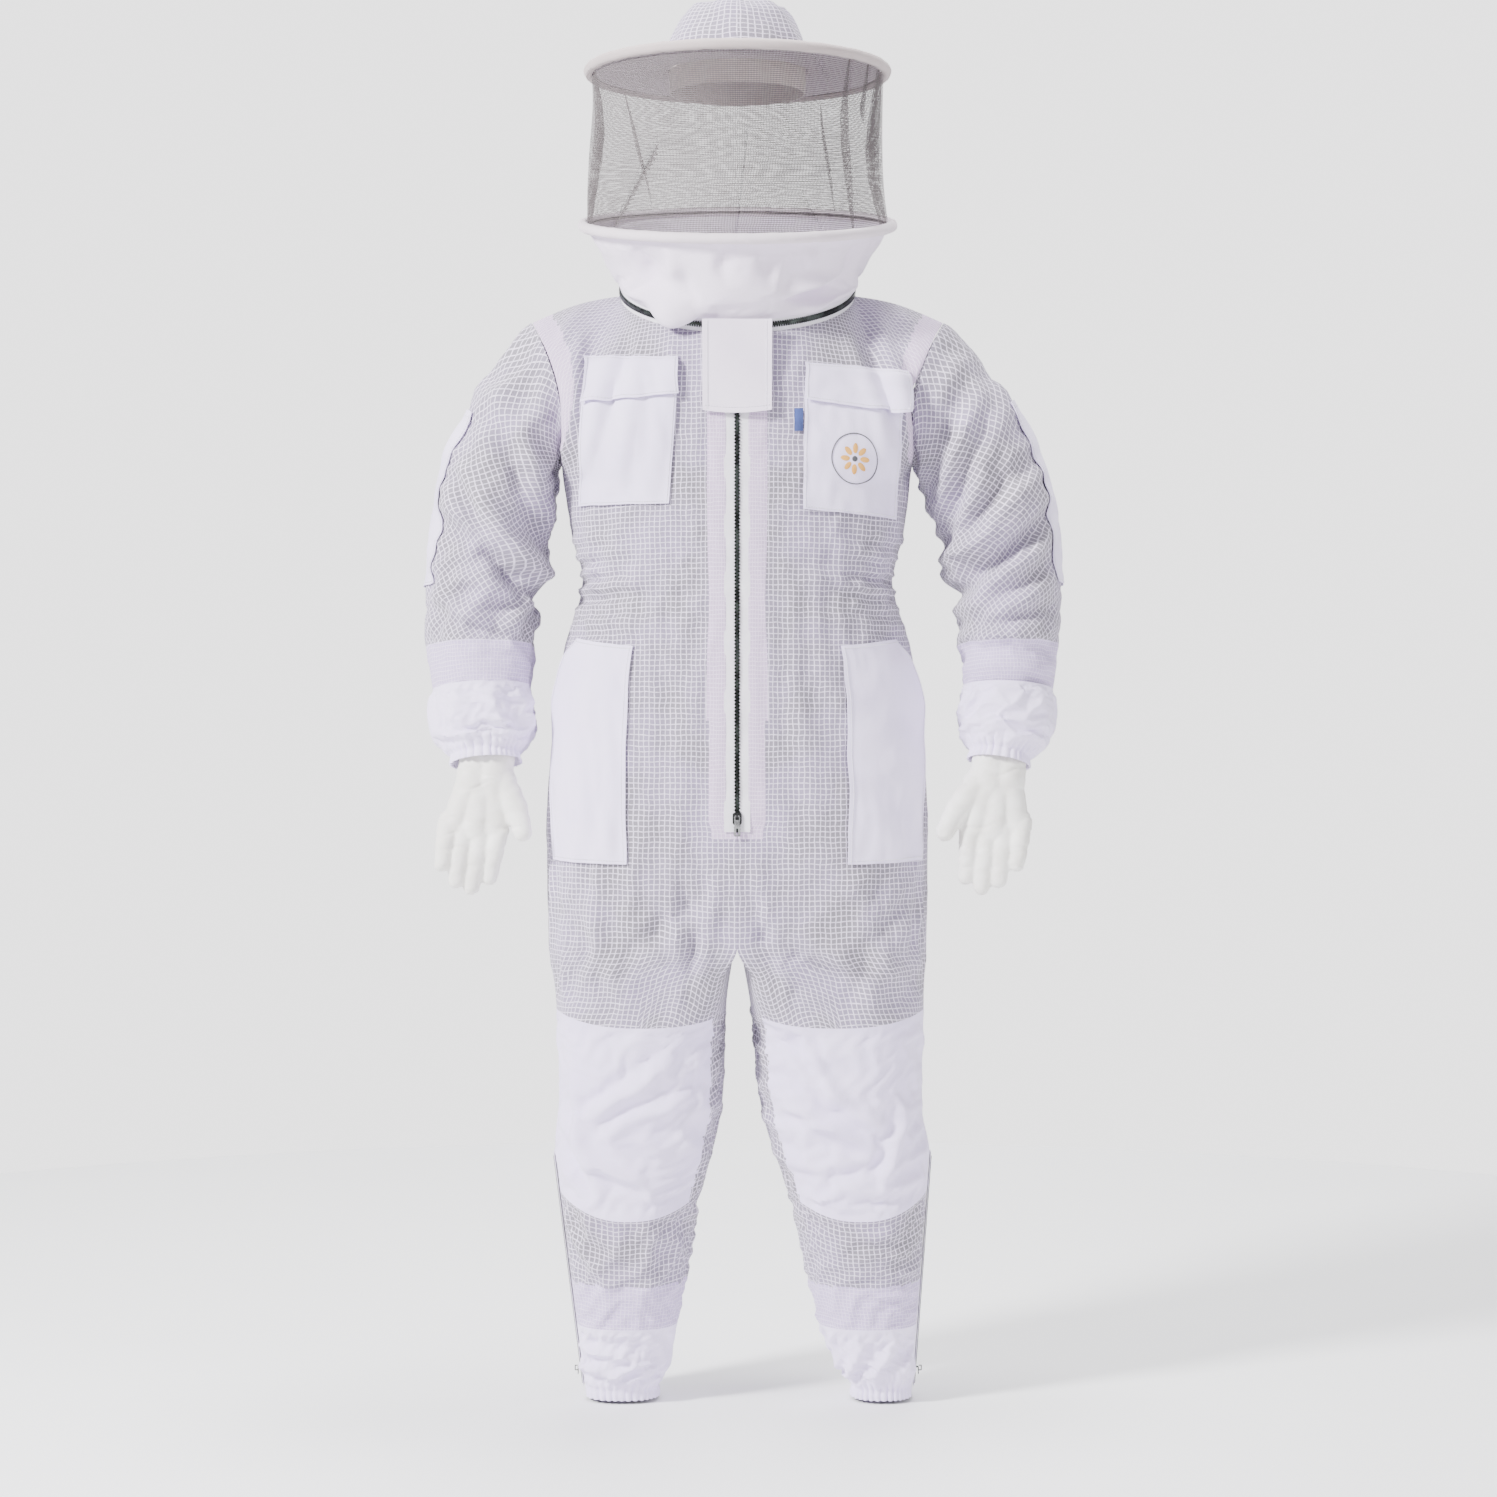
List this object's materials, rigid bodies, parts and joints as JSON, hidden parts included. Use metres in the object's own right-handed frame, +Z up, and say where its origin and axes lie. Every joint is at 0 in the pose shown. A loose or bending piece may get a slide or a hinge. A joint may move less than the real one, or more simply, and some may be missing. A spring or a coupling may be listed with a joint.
{
  "type": "beekeeping suit",
  "caption": "Ventilated white coverall with a zip-on hood, round veil on wire hoops, patch pockets, knee and elbow panels, ankle zips and gloves.",
  "frame": {"origin": "floor plane of the ankle hems, midway between the legs' outer sides", "axes": "+Z up along the body, -Y to the front, +X to the wearer's left"},
  "size_m": [0.7819, 0.383, 1.716],
  "materials": {
    "mesh_fabric": "three-layer ventilated mesh, white square grid over a grey open layer",
    "white_cotton": "plain white cotton drill, stitched edges",
    "elastic": "woven elastic and towelling",
    "dark_net": "fine black see-through netting",
    "hoop_wire": "round spring steel wire",
    "zip_tape": "woven zip tape with black metal teeth",
    "slider_metal": "black lacquered die-cast slider",
    "pull_metal": "plain pull tab",
    "glove_leather": "soft white goatskin",
    "blue_label": "woven blue tab with no words"
  },
  "bodies": {
    "suit": {"front_left": "mesh_fabric", "front_right": "mesh_fabric", "back": "mesh_fabric", "waist_elastic": "elastic", "zip_half_left": "zip_tape", "zip_half_right": "zip_tape", "neck_zip_half": "zip_tape", "chest_pocket_left": "white_cotton", "chest_pocket_right": "white_cotton", "hip_pocket_left": "white_cotton", "hip_pocket_right": "white_cotton", "side_label": "blue_label", "sleeve_cap_left": "mesh_fabric", "sleeve_cap_right": "mesh_fabric", "thigh_left": "mesh_fabric", "thigh_right": "mesh_fabric", "knee_panel_left": "white_cotton", "knee_panel_right": "white_cotton", "knee_back_left": "mesh_fabric", "knee_back_right": "mesh_fabric"},
    "hood": {"neck_skirt": "white_cotton", "lower_hoop_casing": "white_cotton", "lower_hoop_wire": "hoop_wire", "hood_zip_half": "zip_tape", "veil_net": "dark_net"},
    "hat": {"hat_crown": "mesh_fabric", "hat_brim": "mesh_fabric", "sweatband": "elastic", "upper_hoop_casing": "white_cotton", "upper_hoop_wire": "hoop_wire"},
    "throat_tab": {"throat_flap": "white_cotton"},
    "hood_slide_left": {"hood_slider_left": "slider_metal"},
    "hood_slide_right": {"hood_slider_right": "slider_metal"},
    "zip_upper": {"zip_slider_upper": "slider_metal", "zip_pull_upper": "pull_metal"},
    "zip_lower": {"zip_slider_lower": "slider_metal"},
    "pull_lower": {"zip_pull_lower": "pull_metal"},
    "pocket_lid_left": {"chest_flap_left": "white_cotton"},
    "pocket_lid_right": {"chest_flap_right": "white_cotton"},
    "upper_arm_left": {"upper_sleeve_left": "mesh_fabric", "elbow_sleeve_left": "mesh_fabric", "elbow_patch_left": "white_cotton"},
    "forearm_left": {"lower_sleeve_left": "mesh_fabric", "wrist_cuff_left": "white_cotton"},
    "hand_left": {"glove_left": "glove_leather"},
    "shin_left": {"shin_left": "mesh_fabric", "ankle_cuff_left": "white_cotton", "leg_zip_left": "zip_tape"},
    "leg_slide_left": {"leg_slider_left": "slider_metal"},
    "upper_arm_right": {"upper_sleeve_right": "mesh_fabric", "elbow_sleeve_right": "mesh_fabric", "elbow_patch_right": "white_cotton"},
    "forearm_right": {"lower_sleeve_right": "mesh_fabric", "wrist_cuff_right": "white_cotton"},
    "hand_right": {"glove_right": "glove_leather"},
    "shin_right": {"shin_right": "mesh_fabric", "ankle_cuff_right": "white_cotton", "leg_zip_right": "zip_tape"},
    "leg_slide_right": {"leg_slider_right": "slider_metal"}
  },
  "joints": [
    {"name": "hood_tilt", "type": "hinge", "parent": "suit", "child": "hood", "pos_m": [0, 0.1335, 1.4228], "axis": [-1, 0, 0], "range_deg": [0, 105]},
    {"name": "veil_collapse", "type": "slide", "parent": "hood", "child": "hat", "axis": [0, 0, -1], "range_m": [0, 0.11], "deforming": ["veil_net"]},
    {"name": "throat_flap_lift", "type": "hinge", "parent": "hood", "child": "throat_tab", "pos_m": [0, -0.1418, 1.3095], "axis": [-1, 0, 0], "range_deg": [0, 120]},
    {"name": "hood_zip_left", "type": "hinge", "parent": "suit", "child": "hood_slide_left", "pos_m": [0, 0, 1.362], "axis": [0, -0.4147, 0.91], "range_deg": [0, 150]},
    {"name": "hood_zip_right", "type": "hinge", "parent": "suit", "child": "hood_slide_right", "pos_m": [0, 0, 1.362], "axis": [0, 0.4147, -0.91], "range_deg": [0, 150]},
    {"name": "main_zip_upper", "type": "slide", "parent": "suit", "child": "zip_upper", "axis": [0, 0, -1], "range_m": [0, 0.36]},
    {"name": "main_zip_lower", "type": "slide", "parent": "suit", "child": "zip_lower", "axis": [0, 0, 1], "range_m": [0, 0.16]},
    {"name": "zip_pull_swing", "type": "hinge", "parent": "zip_lower", "child": "pull_lower", "pos_m": [0, -0.1384, 0.719], "axis": [-1, 0, 0], "range_deg": [0, 160]},
    {"name": "pocket_flap_left", "type": "hinge", "parent": "suit", "child": "pocket_lid_left", "pos_m": [0.1428, -0.117, 1.2645], "axis": [-0.9539, -0.3001, 0], "range_deg": [0, 120]},
    {"name": "pocket_flap_right", "type": "hinge", "parent": "suit", "child": "pocket_lid_right", "pos_m": [-0.1285, -0.1133, 1.2768], "axis": [-0.9221, 0.387, 0], "range_deg": [0, 120]},
    {"name": "shoulder_left", "type": "hinge", "parent": "suit", "child": "upper_arm_left", "pos_m": [0.235, 0, 1.231], "axis": [-1, 0, 0], "range_deg": [0, 80], "deforming": ["sleeve_cap_left"]},
    {"name": "elbow_left", "type": "hinge", "parent": "upper_arm_left", "child": "forearm_left", "pos_m": [0.325, -0.018, 1.022], "axis": [-1, 0, 0], "range_deg": [0, 85], "deforming": ["elbow_sleeve_left", "elbow_patch_left"]},
    {"name": "glove_pull_left", "type": "slide", "parent": "forearm_left", "child": "hand_left", "axis": [-0.15, -0.225, -0.9627], "range_m": [0, 0.12]},
    {"name": "knee_left", "type": "hinge", "parent": "suit", "child": "shin_left", "pos_m": [0.128, 0, 0.362], "axis": [1, 0, 0], "range_deg": [0, 85], "deforming": ["knee_panel_left", "knee_back_left"]},
    {"name": "leg_zip_left", "type": "slide", "parent": "shin_left", "child": "leg_slide_left", "axis": [0.0699, -0.0498, 0.9963], "range_m": [0, 0.25]},
    {"name": "shoulder_right", "type": "hinge", "parent": "suit", "child": "upper_arm_right", "pos_m": [-0.235, 0, 1.231], "axis": [-1, 0, 0], "range_deg": [0, 80], "deforming": ["sleeve_cap_right"]},
    {"name": "elbow_right", "type": "hinge", "parent": "upper_arm_right", "child": "forearm_right", "pos_m": [-0.307, -0.018, 1.022], "axis": [-1, 0, 0], "range_deg": [0, 85], "deforming": ["elbow_sleeve_right", "elbow_patch_right"]},
    {"name": "glove_pull_right", "type": "slide", "parent": "forearm_right", "child": "hand_right", "axis": [0.0627, -0.2509, -0.966], "range_m": [0, 0.12]},
    {"name": "knee_right", "type": "hinge", "parent": "suit", "child": "shin_right", "pos_m": [-0.128, 0, 0.362], "axis": [1, 0, 0], "range_deg": [0, 85], "deforming": ["knee_panel_right", "knee_back_right"]},
    {"name": "leg_zip_right", "type": "slide", "parent": "shin_right", "child": "leg_slide_right", "axis": [-0.1221, -0.0496, 0.9913], "range_m": [0, 0.25]}
  ],
  "couplings": [
    {"joint": "hood_zip_left", "follows": "hood_tilt", "ratio": 1.42},
    {"joint": "hood_zip_right", "follows": "hood_tilt", "ratio": 1.42}
  ]
}
